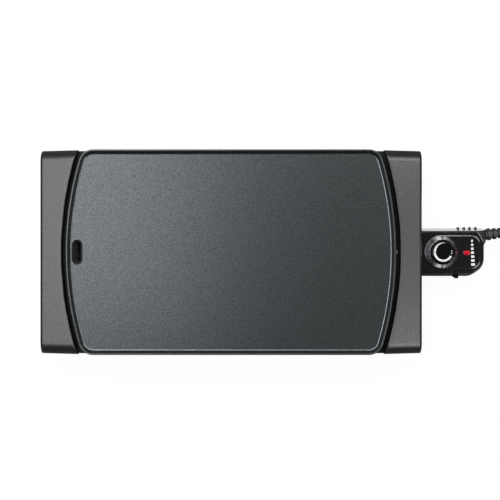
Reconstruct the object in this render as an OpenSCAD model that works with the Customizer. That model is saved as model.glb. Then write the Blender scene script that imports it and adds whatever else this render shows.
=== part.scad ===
// Electric griddle: a cast plate on two end handles with legs, a drip tray under the drain slot, and a
// plug-in thermostat control with its mains cord.
// Millimetres, +Z up, standing on z = 0. The griddle's ends face -X and +X, and its front faces -Y.
// Modules are drawn from the middle of the plate, and at_plate() moves them to the origin of the part.

/* [Cooking plate] */
// Length of the plate between the tips of its bowed ends
plate_l = 455; // [451:1:459]
// Width of the plate, front to back
plate_w = 283; // [279:1:287]
// Radius of the bowed ends
end_r = 450; // [440:5:470]
// Radius of the plate's corners
plate_corner_r = 20; // [16:1:24]
// Width of the raised rim
rim_w = 6; // [5:0.5:8]
// Depth of the cooking surface below the rim
well_depth = 6; // [4:0.5:7]
// Thickness of the plate's floor
floor_t = 5; // [4:0.5:6]
// Thickness of the skirt round the underside
skirt_t = 3.5; // [3:0.5:5]
// Height of the rim above the table
rim_z = 72; // [72:1:76]

/* [Drain] */
// Width of the drain slot, along the griddle
drain_w = 10; // [8:1:12]
// Length of the drain slot, across the griddle
drain_l = 30; // [26:1:34]
// Distance of the drain slot from the middle of the plate
drain_x = 212.5; // [210:0.5:213]

/* [Handles] */
// Length of the whole griddle over its two handles
body_l = 532; // [528:1:536]
// Width of a handle, front to back
handle_w = 284; // [280:1:286]
// Gap between the plate and a handle
handle_gap = 7; // [6:0.5:8]
// Height of a handle's top at its inner edge
handle_in_z = 65.5; // [63:0.5:68]
// Height of a handle's top at its outer edge
handle_out_z = 57.7; // [56:0.1:60]
// Radius of the roll at a handle's front and back ends
handle_roll_r = 16; // [10:1:18]
// Wall thickness of a handle shell
shell_t = 3; // [2:0.5:3]

/* [Drip tray] */
// Length of the tray, along its slide
tray_l = 102; // [90:1:104]
// Width of the tray's basin
tray_w = 148; // [130:2:150]
// Depth of the tray
tray_h = 22; // [16:1:24]

/* [Control] */
// Distance of the dial's axis from the middle of the plate
dial_x = 294.5; // [292:0.5:297]
// Width of the control's housing
control_w = 69; // [68:1:70]
// Underside of the housing above the table
control_z = 20; // [18:1:21]
// Height of the housing's two halves together
control_h = 28.5; // [27:0.5:29]
// Diameter of the dial
dial_d = 44.8; // [42:0.2:46]
// Distance between the two contact pins
pin_pitch = 36; // [34:1:38]

/* [Cord] */
// Diameter of the mains cord
cord_d = 7.5; // [6.5:0.1:8]
// Radius of the coil at the middle of its turns
coil_r = 42; // [42:1:44]

/* [Hidden] */
$fn = 48;

eps = 0.5;                                        // overshoot of a cutter past a face
control_reach = dial_x + 62.5;                    // the control's furthest point from the plate's middle
plate_x = -(control_reach - body_l / 2) / 2;      // puts the griddle with its control over the origin

floor_z = rim_z - well_depth;
under_z = floor_z - floor_t;                      // underside of the plate's floor
skirt_z = under_z - 5;                            // lower edge of the skirt
ledge_z = skirt_z - 3;                            // top of the leg frames' ledges
ledge_t = 3;
end_x = plate_l / 2 - end_r;                      // centre of the right end's arc

lip_w = 2;                                        // the drain slot's sunk lip
tube_r = 4;                                       // heating element
element_z = under_z - tube_r - 0.05;
rib_z = under_z - 6.5;
terminal_z = 38.5;                                // height of the contact pins and the probe
drop_r = (element_z - terminal_z) / 2;            // the element's two bends down to its pins
drop_x = 195;
pin_x = drop_x + 2 * drop_r + 8;                  // where the pins begin
pin_r = 2.5;
probe_r = 3;
run_fit = 0.08;                                   // radial play of a sliding or turning fit

boss_at = [205, 85];                              // plate bosses on the leg frames, mirrored four ways
leg_at = [[227, 107], [257, 134]];                // low and high corner of a leg, mirrored four ways
leg_bottom = 5;
leg_t = 2.5;
post_at = [247, 60];                              // screw posts in the handle shells
shroud_x = [222, 256];
shroud_y = 29;
shroud_z = [27.2, ledge_z - ledge_t];
shroud_wall = 1.8;

tray_x = -262;                                    // outer end of the tray
flange_z = 30.2;                                  // the tray's side flanges
flange_t = 1.6;
rail_play = 0.2;

wall = 2.2;                                       // wall of the control's housing
split_z = control_z + 14;
top_z = control_z + control_h;
deck_t = 1.2;
neck_slope = 24;                                  // fall of the housing's top towards the cord
front_x = dial_x - 36.5;                          // the housing's face towards the griddle
screw_at = [[268, -26], [268, 26], [321, -23], [341, 10]];
lens_at = [dial_x + 35.2, -0.9];
lens_long = 1.8;                                  // half of the lens's straight middle
mark_x = dial_x + 41;
dial_z = top_z + deck_t + 0.6;                    // underside of the dial
cap_z = dial_z + 4.6;                             // seat of the cap in the dial
cap_top = cap_z + 5;
stack_x = [306, 314];                             // the switch's insulating stack
strip_z = 29;
blade_z = 33;
wire_r = 1;
nose_y = 26;
nose_z = [29.8, 47.2];

guard_tilt = 6.5;
guard_l = 44;
guard_at = [plate_x + control_reach, 24.5, split_z];
coil_at = [424, -19, 1];
turn_pitch = 8;
coil_h = turn_pitch + cord_d;                     // two layers of turns, three turns wide
coil_reach = turn_pitch + cord_d / 2;             // from the middle turn's centreline to the coil's side
plug_at = [474, -74, 18.5];
plug_r = 18.5;

// The cord's route from its guard to the top of the first turn of the coil.
lead_route = [[355.2, 29.5, 34], [362, 30.3, 34], [369.5, 30.8, 33], [377, 31, 30.4],
    [385, 31, 26.3], [393, 31, 21], [401, 31, 15.5], [409, 31, 10.5], [417, 31, 6.8],
    [424, 31, 5]];
// The cord's route from the last turn of the coil to the plug.
tail_route = [[474, -19, 12.8], [474, -28, 12.9], [474, -37, 13.6], [474, -46, 15.1],
    [474, -55, 16.9], [474, -64, 18.2], [474, -70, 18.5], [474, -74, 18.5]];

// The three leads inside the control, from the cord clamp.
live_route = [[351.5, 22.5, 31], [348.4, 22.5, 31], [347.3, 20, 27], [347.3, 6, 25], [346, -6, 25],
    [337.8, -12, 27]];
neutral_route = [[351.5, 25.2, 36.5], [348.4, 25.2, 36.5], [342, 24, 40], [330, 18, 41], [320, 10, 38],
    [317.6, 2, 34.8]];
earth_route = [[351.5, 27.8, 31.5], [348.4, 27.8, 31.5], [340, 28.4, 28], [300, 28, 28], [280, 22, 28],
    [268.6, 11, 28]];

// Points along an arc.
function arc(c, r, from, to, n) =
    [for (i = [0:n]) let (a = from + (to - from) * i / n) c + r * [cos(a), sin(a)]];

// The plate's outline, drawn in by inset: two bowed ends, two straight sides and four round corners.
function plate_outline(inset) =
    let (
        corner_y = plate_w / 2 - plate_corner_r,
        reach = end_r - plate_corner_r,
        corner_x = end_x + sqrt(reach * reach - corner_y * corner_y),
        meet = asin(corner_y / reach),
        r = end_r - inset,
        c = plate_corner_r - inset
    )
    concat(
        arc([end_x, 0], r, -meet, meet, 12),
        arc([corner_x, corner_y], c, meet + 9, 90, 7),
        arc([-corner_x, corner_y], c, 90, 171 - meet, 7),
        arc([-end_x, 0], r, 180 - meet, 180 + meet, 12),
        arc([-corner_x, -corner_y], c, 189 + meet, 270, 7),
        arc([corner_x, -corner_y], c, 270, 351 - meet, 7)
    );

// The housing's plan outline, from the dial's axis, drawn in by inset.
function control_outline(inset, y_max) =
    let (e = inset, w = control_w / 2)
    concat(
        [[-36.5 + e, -w + e]],
        arc([39, -w + 20.5], 20.5 - e, 270, 360, 8),
        [[59.5 - e, 9.7], [62.5 - e, 15.5], [62.5 - e, y_max - e], [-36.5 + e, y_max - e]]
    );

// The raised deck's outline, from the dial's axis.
function deck_outline() = concat(
    arc([0, 0], 24, 90, 270, 16),
    arc([40.8, -10], 14, 270, 360, 6),
    arc([40.8, 10], 14, 0, 90, 6)
);

function unit(v) = v / norm(v);

// The direction of a route at its point i.
function heading(route, i) =
    unit(route[min(i + 1, len(route) - 1)] - route[max(i - 1, 0)]);

// A ring of points round a route at its point i.
function ring(route, i, r, sides) =
    let (
        d = heading(route, i),
        u = unit(cross([0, 0, 1], d)),
        v = cross(d, u)
    )
    [for (k = [0:sides - 1]) route[i] + r * (cos(k * 360 / sides) * u + sin(k * 360 / sides) * v)];

// The side faces of a tube with the given number of rings and sides.
function tube_sides(rings, sides) = [
    for (i = [0:rings - 2], k = [0:sides - 1])
        let (a = i * sides, b = a + sides, n = (k + 1) % sides)
        [a + k, b + k, b + n, a + n]
];

module at_plate() {
    translate([plate_x, 0, 0])
        children();
}

module four_ways(p) {
    for (sx = [-1, 1], sy = [-1, 1])
        translate([sx * p[0], sy * p[1], 0])
            children();
}

module box(low, high) {
    translate(low)
        cube(high - low);
}

// A cylinder along +X.
module rod(x0, x1, y, z, r) {
    translate([x0, y, z])
        rotate([0, 90, 0])
            cylinder(h = x1 - x0, r = r);
}

// A cylinder along +Z.
module post(x, y, z0, z1, r) {
    translate([x, y, z0])
        cylinder(h = z1 - z0, r = r);
}

module plate_slab(inset, z0, z1) {
    translate([0, 0, z0])
        linear_extrude(z1 - z0)
            polygon(plate_outline(inset));
}

// A slot with round ends, as an upright solid.
module drain_solid(grow, z0, z1) {
    straight = (drain_l - drain_w) / 2;
    for (side = [-1, 1])
        post(-drain_x, side * straight, z0, z1, drain_w / 2 + grow);
    box([-drain_x - drain_w / 2 - grow, -straight, z0], [-drain_x + drain_w / 2 + grow, straight, z1]);
}

module along_x(x0, x1, y) {
    translate([x0, y, 0])
        rotate([90, 0, 90])
            linear_extrude(x1 - x0)
                children();
}

module along_y(y0, y1, x) {
    translate([x, y1, 0])
        rotate([90, 0, 0])
            linear_extrude(y1 - y0)
                children();
}

module bend(c, r, from, to) {
    translate([c[0], c[1], 0])
        rotate([0, 0, from])
            rotate_extrude(angle = to - from, $fn = 72)
                translate([r, 0])
                    children();
}

// Sweeps its flat child along the heating element's path under the plate.
module element_path() {
    for (side = [0, 1])
        mirror([0, side, 0]) {
            bend([drop_x, 38], 20, 180, 270)
                children();
            along_y(38, 85, 175)
                children();
            bend([155, 85], 20, 0, 90)
                children();
            along_x(-150, 155, 105)
                children();
            bend([-150, 75], 30, 90, 270)
                children();
            along_x(-150, 110, 45)
                children();
        }
    bend([110, 0], 45, -90, 90)
        children();
}

module griddle_plate() {
    lug = [183, 214];
    color([0.30, 0.31, 0.32])
        at_plate()
            difference() {
                union() {
                    difference() {
                        plate_slab(0, skirt_z, rim_z);
                        plate_slab(rim_w, floor_z, rim_z + eps);
                        plate_slab(skirt_t, skirt_z - eps, under_z);
                    }
                    for (side = [-7, 4.1])
                        element_path()
                            translate([side, rib_z])
                                square([2.9, under_z - rib_z]);
                    four_ways(boss_at)
                        post(0, 0, ledge_z + 2, under_z, 6);
                    drain_solid(2, skirt_z - 2, under_z);
                    box([lug[0], -7, terminal_z - 6], [lug[1], 7, under_z]);
                }
                drain_solid(0, skirt_z - 3, floor_z + eps);
                drain_solid(lip_w, floor_z - lip_w, floor_z + eps);
                four_ways(boss_at)
                    post(0, 0, ledge_z, under_z - 1, 1.7);
                rod(lug[0] - eps, lug[1] + eps, 0, terminal_z, 4);
            }
}

module heating_element() {
    color([0.55, 0.53, 0.50])
        at_plate() {
            element_path()
                translate([0, element_z])
                    circle(r = tube_r);
            for (side = [-1, 1])
                translate([0, side * pin_pitch / 2, element_z - drop_r]) {
                    translate([drop_x, 0, 0])
                        rotate([90, 0, 0])
                            rotate_extrude(angle = 90)
                                translate([drop_r, 0])
                                    circle(r = tube_r);
                    translate([drop_x + 2 * drop_r, 0, 0])
                        rotate([90, 180, 0])
                            rotate_extrude(angle = 90)
                                translate([drop_r, 0])
                                    circle(r = tube_r);
                    rod(drop_x + 2 * drop_r, pin_x, 0, -drop_r, tube_r);
                }
        }
}

module terminal_pins() {
    color([0.75, 0.73, 0.68])
        at_plate()
            for (side = [-1, 1])
                translate([pin_x, side * pin_pitch / 2, terminal_z])
                    rotate([0, 90, 0])
                        rotate_extrude()
                            polygon([[0, 0], [pin_r, 0], [pin_r, 31], [pin_r - 1, 32.5], [0, 32.5]]);
}

module ceramic_bushes() {
    color([0.88, 0.86, 0.80])
        at_plate()
            for (side = [-1, 1])
                difference() {
                    union() {
                        rod(pin_x, shroud_x[0] + shroud_wall, side * pin_pitch / 2, terminal_z, 4.5);
                        rod(shroud_x[0] + shroud_wall, 228, side * pin_pitch / 2, terminal_z, 6);
                    }
                    rod(pin_x - eps, 228 + eps, side * pin_pitch / 2, terminal_z, pin_r + 0.05);
                }
}

module probe_guide() {
    color([0.70, 0.70, 0.70])
        at_plate()
            difference() {
                rod(180, shroud_x[0] + shroud_wall, 0, terminal_z, 3.98);
                rod(180 - eps, 230, 0, terminal_z, probe_r + run_fit);
            }
}

module terminal_shroud() {
    back = shroud_x[0] + shroud_wall;
    color([0.62, 0.62, 0.61])
        at_plate()
            difference() {
                union() {
                    box([shroud_x[0], -shroud_y, shroud_z[0]], [shroud_x[1], shroud_y, shroud_z[1]]);
                    for (side = [-1, 1])
                        box([230, side * 36 - 8, shroud_z[1] - 2], [246, side * 36 + 8, shroud_z[1]]);
                }
                box([back, -27, 29], [shroud_x[1] + eps, 27, 48]);
                rod(shroud_x[0] - eps, back + eps, 0, terminal_z, 4);
                for (side = [-1, 1]) {
                    rod(shroud_x[0] - eps, back + eps, side * pin_pitch / 2, terminal_z, 4.52);
                    post(238, side * 37, shroud_z[1] - 3, shroud_z[1] + eps, 2.2);
                }
            }
}

// A pan-head screw that points up, with its head's underside at z.
module screw_up(x, y, z, length, shank, head, head_t) {
    translate([x, y, z])
        rotate_extrude($fn = 32)
            polygon([[0, -head_t], [head, -head_t], [head, 0], [shank, 0], [shank, length], [0, length]]);
}

module shroud_screws() {
    color([0.70, 0.70, 0.72])
        at_plate()
            for (side = [-1, 1])
                screw_up(238, side * 37, shroud_z[1] - 2, 4.6, 1.95, 3.8, 2.4);
}

// A handle's plan outline, drawn in by inset.
module handle_outline(inset) {
    difference() {
        translate([195, inset - handle_w / 2])
            square([body_l / 2 - inset - 195, handle_w - 2 * inset]);
        translate([end_x, 0])
            circle(r = end_r + handle_gap + inset, $fn = 360);
    }
}

// A handle's sloping top with its rolled ends, as a solid reaching below the table.
module handle_mass(inset) {
    reach = body_l / 2 - (end_x + end_r + handle_gap);
    slope = atan((handle_in_z - handle_out_z) / reach);
    half = handle_w / 2 - inset;
    roll = handle_roll_r - inset;
    translate([body_l / 2, 0, handle_out_z])
        rotate([0, slope, 0])
            rotate([90, 0, 90])
                translate([0, 0, -70])
                    linear_extrude(90)
                        polygon(concat(
                            [[half, -70], [half, -inset - roll]],
                            arc([half - roll, -inset - roll], roll, 11, 90, 7),
                            arc([roll - half, -inset - roll], roll, 90, 169, 7),
                            [[-half, -inset - roll], [-half, -70]]
                        ));
}

// The right-hand handle shell, open below, with an arch in its outer lip.
module handle_shell(lip_z, arch_y, arch_z) {
    outer = body_l / 2;
    color([0.40, 0.41, 0.43])
        difference() {
            union() {
                difference() {
                    intersection() {
                        handle_mass(0);
                        translate([0, 0, lip_z])
                            linear_extrude(40)
                                handle_outline(0);
                    }
                    intersection() {
                        handle_mass(shell_t);
                        translate([0, 0, lip_z - eps])
                            linear_extrude(40)
                                handle_outline(shell_t);
                    }
                }
                intersection() {
                    handle_mass(1);
                    for (side = [-1, 1])
                        post(post_at[0], side * post_at[1], ledge_z, 75, 4.5);
                }
            }
            translate([0, 0, lip_z - eps])
                linear_extrude(ledge_z - lip_z + eps)
                    intersection() {
                        translate([end_x, 0])
                            circle(r = end_r + handle_gap + shell_t + 0.3, $fn = 360);
                        translate([195, -plate_w / 2])
                            square([60, plate_w]);
                    }
            box([outer - shell_t - eps, -arch_y, lip_z - eps], [outer + eps, arch_y, arch_z]);
            for (side = [-1, 1])
                post(post_at[0], side * post_at[1], ledge_z - eps, ledge_z + 5, 1.5);
        }
}

module right_handle_shell() {
    at_plate()
        handle_shell(43, 36, 52.5);
}

module left_handle_shell() {
    at_plate()
        mirror([1, 0, 0])
            handle_shell(43, 62, 50);
}

// A leg frame's ledge, from under the plate's end out to x1.
module ledge(z, x1) {
    translate([0, 0, z])
        linear_extrude(ledge_t)
            difference() {
                translate([195, -plate_w / 2])
                    square([x1 - 195, plate_w]);
                translate([end_x, 0])
                    circle(r = end_r - 4, $fn = 360);
            }
}

// The right-hand leg frame: a ledge under the gap and the handle, two screw tabs and two hollow legs.
module leg_frame() {
    low = leg_at[0];
    high = leg_at[1];
    under = ledge_z - ledge_t;
    color([0.09, 0.09, 0.10])
        difference() {
            union() {
                intersection() {
                    handle_mass(shell_t + 0.2);
                    ledge(under, body_l / 2 - shell_t - 0.2);
                }
                intersection() {
                    ledge(under, body_l / 2);
                    post(end_x, 0, under, ledge_z, end_r + handle_gap - 0.2, $fn = 360);
                }
                for (side = [0, 1])
                    mirror([0, side, 0]) {
                        box([192, 73, under], [226, 97, ledge_z]);
                        box([low[0], low[1], leg_bottom], [high[0], high[1], under]);
                    }
            }
            for (side = [0, 1])
                mirror([0, side, 0]) {
                    box([low[0] + leg_t, low[1] + leg_t, leg_bottom + 3],
                        [high[0] - leg_t, high[1] - leg_t, ledge_z + eps]);
                    post(boss_at[0], boss_at[1], under - eps, ledge_z + eps, 2.2);
                    post(post_at[0], post_at[1], under - eps, ledge_z + eps, 1.8);
                    post((low[0] + high[0]) / 2, (low[1] + high[1]) / 2, leg_bottom - eps, leg_bottom + 4, 3);
                    children();
                }
        }
}

module right_leg_frame() {
    at_plate()
        leg_frame()
            post(238, 37, ledge_z - ledge_t - eps, ledge_z - 0.3, 2);
}

module left_leg_frame() {
    at_plate()
        mirror([1, 0, 0])
            leg_frame()
                post(235, 90, ledge_z - ledge_t - eps, ledge_z - 0.3, 2);
}

module rubber_feet() {
    x = (leg_at[0][0] + leg_at[1][0]) / 2;
    y = (leg_at[0][1] + leg_at[1][1]) / 2;
    color([0.06, 0.06, 0.06])
        at_plate()
            four_ways([x, y])
                rotate_extrude()
                    polygon([[0, 0], [7.2, 0], [8, 0.8], [8, leg_bottom], [2.95, leg_bottom],
                        [2.95, leg_bottom + 3], [0, leg_bottom + 3]]);
}

module insulating_washers() {
    color([0.90, 0.88, 0.82])
        at_plate()
            four_ways(boss_at)
                difference() {
                    post(0, 0, ledge_z, ledge_z + 2, 6);
                    post(0, 0, ledge_z - eps, ledge_z + 2 + eps, 2.2);
                }
}

module plate_screws() {
    color([0.70, 0.70, 0.72])
        at_plate()
            four_ways(boss_at)
                screw_up(0, 0, ledge_z - ledge_t, 9.5, 1.65, 3.8, 2.6);
}

module shell_screws() {
    color([0.70, 0.70, 0.72])
        at_plate()
            four_ways(post_at)
                screw_up(0, 0, ledge_z - ledge_t, 7.5, 1.45, 3.2, 2.2);
}

// Two channels that carry the tray's flanges, hung under the left frame's ledge.
module tray_rails() {
    flange_y = tray_w / 2 + 8;
    low = flange_z - rail_play;
    high = flange_z + flange_t + rail_play;
    under = ledge_z - ledge_t;
    color([0.60, 0.60, 0.60])
        at_plate()
            for (side = [0, 1])
                mirror([0, side, 0])
                    difference() {
                        union() {
                            box([-256, flange_y - 6, low - 1.5], [-166, flange_y + 2, low]);
                            box([-256, flange_y - 6, high], [-166, flange_y + 2, high + 1.5]);
                            box([-256, flange_y + 0.5, low - 1.5], [-166, flange_y + 2, high + 1.5]);
                            box([-256, flange_y + 0.5, high], [-212, flange_y + 2, under]);
                            box([-256, flange_y + 0.5, under - 1.5], [-220, flange_y + 13, under]);
                        }
                        post(-235, 90, under - 2, under + eps, 2.2);
                    }
}

module rail_screws() {
    color([0.70, 0.70, 0.72])
        at_plate()
            for (side = [-1, 1])
                screw_up(-235, side * 90, ledge_z - ledge_t - 1.5, 4, 1.95, 3.6, 2.2);
}

// Two short bars on the right ledge, seen in the gap beside the plate.
module plug_in_mark() {
    color([0.92, 0.92, 0.90])
        at_plate()
            for (y = [-1.4, 1.4])
                box([227.6, y - 0.8, ledge_z], [232, y + 0.8, ledge_z + 0.3]);
}

module drip_tray() {
    half = tray_w / 2;
    t = 1.5;
    bottom = flange_z + flange_t - tray_h;
    far = tray_x + tray_l;
    color([0.66, 0.67, 0.68])
        at_plate()
            union() {
                difference() {
                    box([tray_x, -half, bottom], [far, half, flange_z + flange_t]);
                    box([tray_x + t, t - half, bottom + t], [far - t, half - t, flange_z + flange_t + eps]);
                }
                for (side = [0, 1])
                    mirror([0, side, 0])
                        box([tray_x + 8, half - t, flange_z], [far, half + 8, flange_z + flange_t]);
                box([tray_x - 2.5, -34, flange_z - 7], [tray_x + t, 34, flange_z - 5]);
            }
}

module control_slab(inset, y_max, z0, z1) {
    translate([dial_x, 0, z0])
        linear_extrude(z1 - z0)
            polygon(control_outline(inset, y_max));
}

// What lies over the slope down to the cord, lowered by depth.
module neck_cut(depth) {
    translate([dial_x + 53.3, 23.4, top_z - depth])
        rotate([0, neck_slope, 32])
            translate([0, -40, 0])
                cube([40, 80, 20]);
}

module nose_opening() {
    box([front_x - eps, -nose_y, nose_z[0]], [front_x + wall + eps, nose_y, nose_z[1]]);
}

module control_bottom_housing() {
    ribs = [27, 35.4, 43.4, 51.8];
    back = control_w / 2;
    color([0.10, 0.10, 0.11])
        at_plate()
            difference() {
                union() {
                    difference() {
                        control_slab(0, back, control_z, split_z);
                        control_slab(wall, back, control_z + wall, split_z + eps);
                    }
                    for (p = screw_at)
                        post(p[0], p[1], control_z + 1, split_z, 3.5);
                    for (x = ribs)
                        box([dial_x + x - 1, back - 1, control_z + 2], [dial_x + x + 1, back + 1.2, split_z]);
                    box([dial_x + 20, -back - 3, control_z + 4], [dial_x + 28, 1 - back, control_z + 10]);
                }
                nose_opening();
                for (p = screw_at) {
                    post(p[0], p[1], control_z - eps, control_z + 3, 2.9);
                    post(p[0], p[1], control_z, split_z + eps, 1.7);
                }
                rod(dial_x + 55, control_reach + eps, guard_at[1], split_z, 5);
            }
}

module control_top_housing() {
    back = control_w / 2 - 1.5;
    color([0.13, 0.13, 0.14])
        at_plate()
            difference() {
                union() {
                    difference() {
                        control_slab(0, back, split_z, top_z);
                        neck_cut(0);
                        difference() {
                            control_slab(wall, back, split_z - eps, top_z - wall);
                            neck_cut(wall);
                        }
                    }
                    translate([dial_x, 0, top_z - 1])
                        linear_extrude(deck_t + 1)
                            polygon(deck_outline());
                    for (p = screw_at)
                        post(p[0], p[1], split_z, top_z - 1, 3.2);
                }
                nose_opening();
                for (p = screw_at)
                    post(p[0], p[1], split_z - eps, split_z + 9, 1.3);
                rod(dial_x + 55, control_reach + eps, guard_at[1], split_z, 5);
                post(dial_x, 0, top_z - wall - eps, top_z + deck_t + eps, probe_r + run_fit);
                lens_solid(3.25, top_z - wall - eps, top_z + deck_t + eps);
            }
}

module housing_screws() {
    color([0.45, 0.45, 0.47])
        at_plate()
            for (p = screw_at)
                screw_up(p[0], p[1], control_z + 3, 18, 1.25, 2.7, 2.2);
}

module socket_insulator() {
    back = front_x + wall;
    color([0.16, 0.13, 0.11])
        at_plate()
            difference() {
                union() {
                    box([236, -nose_y, nose_z[0]], [back, nose_y, nose_z[1]]);
                    box([back, -nose_y + 3, nose_z[0] - 2], [back + 3, nose_y - 3, top_z - wall]);
                }
                rod(236 - eps, back + 3 + eps, 0, terminal_z, probe_r + 0.1);
                for (side = [-1, 1])
                    rod(236 - eps, back + 3 + eps, side * pin_pitch / 2, terminal_z, 3.62);
            }
}

module contact_sockets() {
    color([0.80, 0.66, 0.36])
        at_plate()
            for (side = [-1, 1])
                difference() {
                    rod(237, 262, side * pin_pitch / 2, terminal_z, 3.6);
                    rod(237 - eps, 262 + eps, side * pin_pitch / 2, terminal_z, pin_r + run_fit);
                }
}

module temperature_probe() {
    color([0.80, 0.80, 0.81])
        at_plate()
            translate([188, 0, terminal_z])
                rotate([0, 90, 0])
                    rotate_extrude()
                        polygon([[0, 0], [probe_r - 1.2, 0], [probe_r, 1.6], [probe_r, 79],
                            [5, 79], [5, 80.5], [0, 80.5]]);
}

// A folded steel bracket that holds the probe and the switch.
module thermostat_frame() {
    floor_top = control_z + wall;
    color([0.68, 0.68, 0.70])
        at_plate()
            difference() {
                union() {
                    box([265.4, -13, floor_top], [318, 13, floor_top + 1.5]);
                    box([265.4, -13, floor_top], [266.9, 13, 44.5]);
                }
                rod(264, 268, 0, terminal_z, probe_r + 0.05);
            }
}

module contact_stack() {
    color([0.72, 0.62, 0.42])
        at_plate() {
            box([stack_x[0], -6, control_z + wall + 1.5], [stack_x[1], 6, strip_z]);
            box([stack_x[0], -6, strip_z + 0.8], [stack_x[1], 6, blade_z]);
            box([stack_x[0], -6, blade_z + 0.6], [stack_x[1], 6, blade_z + 2.6]);
        }
}

module bimetal_strip() {
    color([0.74, 0.66, 0.52])
        at_plate() {
            box([272, -4, strip_z], [stack_x[1] + 2, 4, strip_z + 0.8]);
            post(280, 0, strip_z + 0.7, strip_z + 1.8, 1.6);
        }
}

module contact_blade() {
    color([0.80, 0.58, 0.32])
        at_plate() {
            box([276, -3.5, blade_z], [stack_x[1] + 2, 3.5, blade_z + 0.6]);
            post(280, 0, blade_z - 1.6, blade_z + 0.1, 1.6);
        }
}

module thermal_fuse() {
    color([0.85, 0.83, 0.76])
        at_plate() {
            rod(322, 334, -12, 27, 2);
            rod(319, 322.5, -12, 27, 0.5);
            rod(333.5, 337, -12, 27, 0.5);
        }
}

module pilot_lamp() {
    color([0.95, 0.60, 0.45])
        at_plate()
            post(lens_at[0], lens_at[1], split_z, top_z - wall - 2.2, 2.6);
}

// An oval with round ends along the griddle, as an upright solid.
module lens_solid(r, z0, z1) {
    for (side = [-1, 1])
        post(lens_at[0] + side * lens_long, lens_at[1], z0, z1, r);
    box([lens_at[0] - lens_long, lens_at[1] - r, z0], [lens_at[0] + lens_long, lens_at[1] + r, z1]);
}

module pilot_lens() {
    under = top_z - wall;
    color([0.75, 0.08, 0.06])
        at_plate()
            union() {
                lens_solid(4.2, under - 1.6, under);
                lens_solid(3.2, under - 0.5, top_z + deck_t + 0.5);
                lens_solid(2.4, top_z + deck_t, top_z + deck_t + 1);
            }
}

module lead_wires() {
    color([0.45, 0.25, 0.12])
        at_plate() {
            tube(live_route, wire_r, 8);
            tube(neutral_route, wire_r, 8);
            tube(earth_route, wire_r, 8);
        }
}

module cord_clamp() {
    color([0.15, 0.15, 0.16])
        at_plate()
            difference() {
                box([349.7, 20.5, 27.5], [352, 29.6, 40.5]);
                for (p = [[22.5, 31], [25.2, 36.5], [27.8, 31.5]])
                    rod(349, 353, p[0], p[1], 1.1);
            }
}

module heat_level_mark() {
    color([0.92, 0.92, 0.90])
        at_plate()
            for (i = [0:6])
                box([mark_x, 15.8 - 5.5 * i - 1.6, top_z + deck_t],
                    [mark_x + 2.4 + 0.5 * i, 15.8 - 5.5 * i + 1.6, top_z + deck_t + 0.25]);
}

module dial_knob() {
    r = dial_d / 2;
    color([0.14, 0.14, 0.15])
        at_plate()
            translate([dial_x, 0, 0])
                rotate_extrude($fn = 96)
                    polygon([[probe_r + 0.02, dial_z], [r - 0.8, dial_z], [r, dial_z + 0.8],
                        [r, dial_z + 3.6], [r - 1.4, dial_z + 5.4], [16, dial_z + 6.2], [16, cap_z],
                        [probe_r + 0.02, cap_z]]);
}

module dial_cap() {
    color([0.05, 0.05, 0.05])
        at_plate()
            translate([dial_x, 0, 0])
                rotate_extrude($fn = 96)
                    polygon([[0, cap_z], [15.8, cap_z], [15.8, cap_top - 1], [14.8, cap_top], [0, cap_top]]);
}

// The heat scale: a band that widens clockwise, and a pair of dots at the off place.
module dial_scale() {
    thin_end = 78;
    sweep = 255;
    steps = 34;
    color([0.93, 0.93, 0.92])
        at_plate()
            translate([dial_x, 0, cap_top]) {
                linear_extrude(0.2)
                    difference() {
                        polygon(concat(
                            arc([0, 0], 13.2, thin_end, thin_end + sweep, steps),
                            [for (i = [steps:-1:0])
                                let (a = thin_end + sweep * i / steps)
                                (12.9 - 3.2 * min(1, 3 * i / steps)) * [cos(a), sin(a)]]
                        ));
                        for (a = [135, 180, 225, 270, 315])
                            translate(11.5 * [cos(a), sin(a)])
                                circle(r = 0.55, $fn = 16);
                    }
                for (y = [-1.6, 1.6])
                    translate([11.8, y, 0])
                        cylinder(h = 0.2, r = 0.9, $fn = 24);
            }
}

module dial_shaft() {
    color([0.76, 0.76, 0.78])
        at_plate()
            translate([dial_x, 0, 0])
                rotate_extrude()
                    polygon([[0, blade_z + 0.9], [1.5, blade_z + 0.9], [1.5, 37], [probe_r, 37],
                        [probe_r, cap_z], [0, cap_z]]);
}

module shaft_clip() {
    color([0.30, 0.30, 0.32])
        at_plate()
            difference() {
                post(dial_x, 0, top_z - wall - 1.4, top_z - wall - 0.4, 5.5);
                post(dial_x, 0, top_z - wall - 2, top_z - wall, probe_r);
            }
}

module cord_guard() {
    color([0.10, 0.10, 0.11])
        translate(guard_at)
            union() {
                rotate([0, 0, guard_tilt])
                    rotate([0, 90, 0])
                        rotate_extrude()
                            polygon([[0, -wall - 0.8], [4.6, -wall - 0.8], [4.6, 1.1], [8.7, 1.1], [8.7, 6],
                                [5.8, guard_l], [0, guard_l]]);
                box([-wall - 1.6, -6.5, -6.5], [-wall, 4.7, 6.5]);
            }
}

// A tube along a route, as one closed surface.
module tube(route, r, sides) {
    rings = len(route);
    polyhedron(
        points = [for (i = [0:rings - 1]) each ring(route, i, r, sides)],
        faces = concat(
            tube_sides(rings, sides),
            [[for (k = [0:sides - 1]) k]],
            [[for (k = [sides - 1:-1:0]) (rings - 1) * sides + k]]
        )
    );
}

module cord_lead() {
    color([0.08, 0.08, 0.08])
        tube(lead_route, cord_d / 2, 10);
}

module cord_tail() {
    color([0.08, 0.08, 0.08])
        tube(tail_route, cord_d / 2, 10);
}

module cord_coil() {
    color([0.08, 0.08, 0.08])
        translate(coil_at)
            rotate_extrude($fn = 96)
                translate([coil_r - coil_reach, 0])
                    square([2 * coil_reach, coil_h]);
}

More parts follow.
